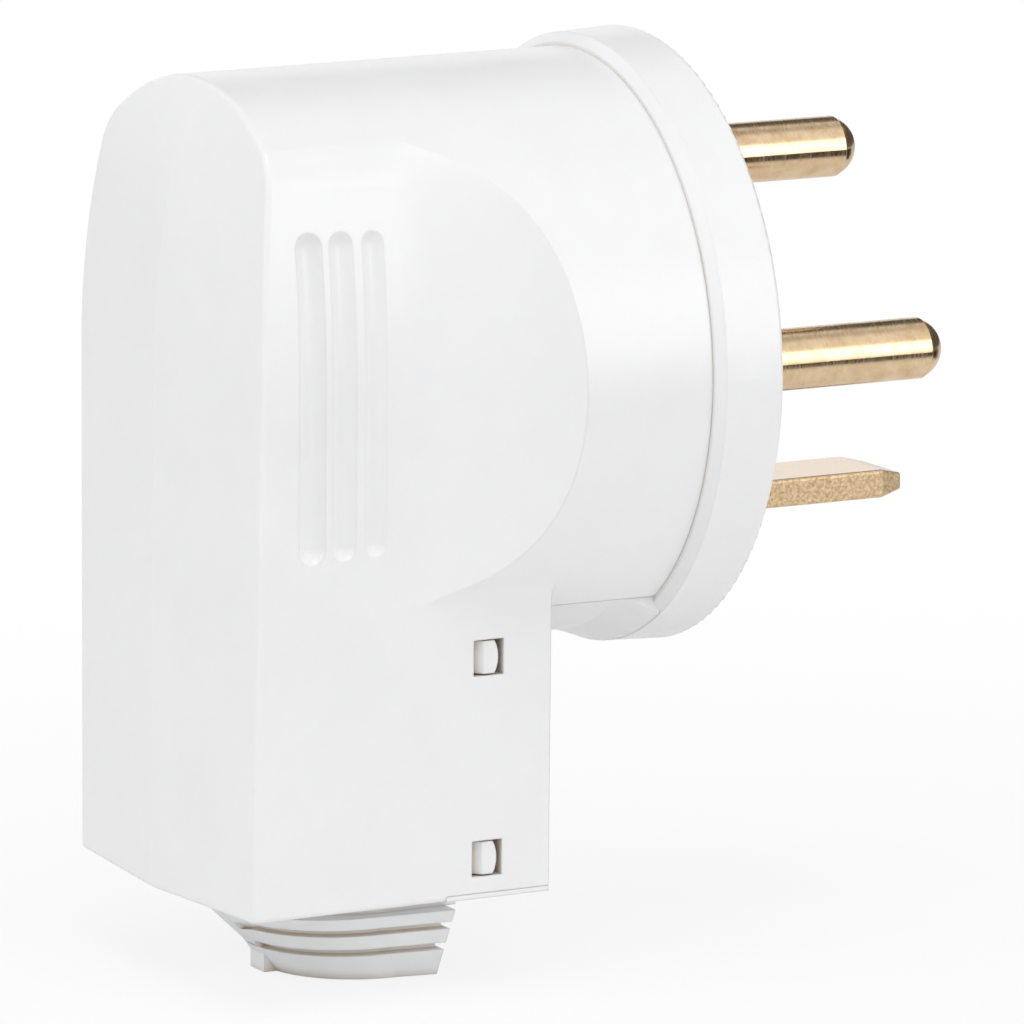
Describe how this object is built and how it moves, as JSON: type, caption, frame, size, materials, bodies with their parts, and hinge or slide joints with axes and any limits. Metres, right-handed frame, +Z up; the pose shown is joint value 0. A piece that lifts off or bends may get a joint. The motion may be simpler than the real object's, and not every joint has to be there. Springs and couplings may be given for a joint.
{
  "type": "three-phase plug",
  "caption": "Side-entry power plug with round brass pins and a flat earth blade on a round face, a scooped grip housing and a grooved cord boot underneath.",
  "frame": {"origin": "centre of the round face that meets the socket, in the plane of that face", "axes": "+Y along the pins into the socket, +Z up towards the pin opposite the earth blade, -Z the way the cord leaves, +X to the side"},
  "size_m": [0.06, 0.0806, 0.0893],
  "materials": {
    "white_plastic": "satin moulded near-white thermoplastic",
    "soft_plastic": "matt soft plastic, a little greyer than the housing",
    "brass": "turned and drawn bare brass with fine lathe lines",
    "plated_steel": "bright zinc plate",
    "inner_plastic": "matt moulded plastic"
  },
  "bodies": {
    "root": {"base": "white_plastic", "cable_boot": "soft_plastic", "cord_clamp": "inner_plastic", "cord_clamp_screw_1": "plated_steel", "cord_clamp_screw_2": "plated_steel", "cover": "white_plastic", "cover_screw": "plated_steel", "earth_blade": "brass", "line_pin_1": "brass", "line_pin_2": "brass", "line_pin_3": "brass", "pin_retainer": "inner_plastic", "retainer_screw_1": "plated_steel", "retainer_screw_2": "plated_steel", "terminal_screw_1": "plated_steel", "terminal_screw_2": "plated_steel", "terminal_screw_3": "plated_steel", "terminal_screw_4": "plated_steel", "wire_clamp_plate_1": "plated_steel", "wire_clamp_plate_2": "plated_steel", "wire_clamp_plate_3": "plated_steel", "wire_clamp_plate_4": "plated_steel"}
  },
  "joints": []
}
